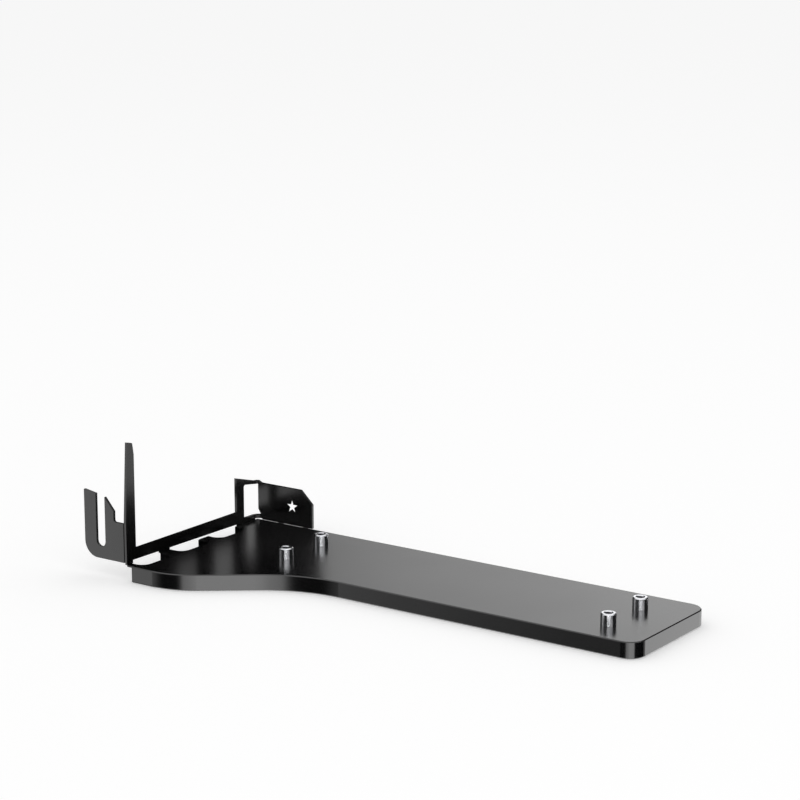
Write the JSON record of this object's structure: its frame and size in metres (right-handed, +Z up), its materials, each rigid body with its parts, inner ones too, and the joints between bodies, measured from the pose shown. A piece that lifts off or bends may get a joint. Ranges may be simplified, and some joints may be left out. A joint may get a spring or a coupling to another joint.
{
  "type": "vertical graphics card bracket",
  "caption": "Flat bracket that stands a graphics card upright: a long plate with a notched wide end, a folded sheet frame with a slotted ear, and threaded posts for a riser board.",
  "frame": {"origin": "centre of the riser hole pattern, on the plate's underside", "axes": "+X along the plate from the rear frame to the far end, -Y to the front, +Z up out of the plate's top"},
  "size_m": [0.2008, 0.0743, 0.0473],
  "materials": {
    "plate": "black anodised, glossy",
    "frame": "black powder coat, semi-gloss",
    "standoff": "bright nickel plate",
    "screw": "black oxide"
  },
  "bodies": {
    "root": {"base_plate": "plate", "rear_frame": "frame", "standoff_front_left": "standoff", "standoff_rear_left": "standoff", "standoff_front_right": "standoff", "standoff_rear_right": "standoff", "frame_screws": "screw"}
  },
  "joints": []
}
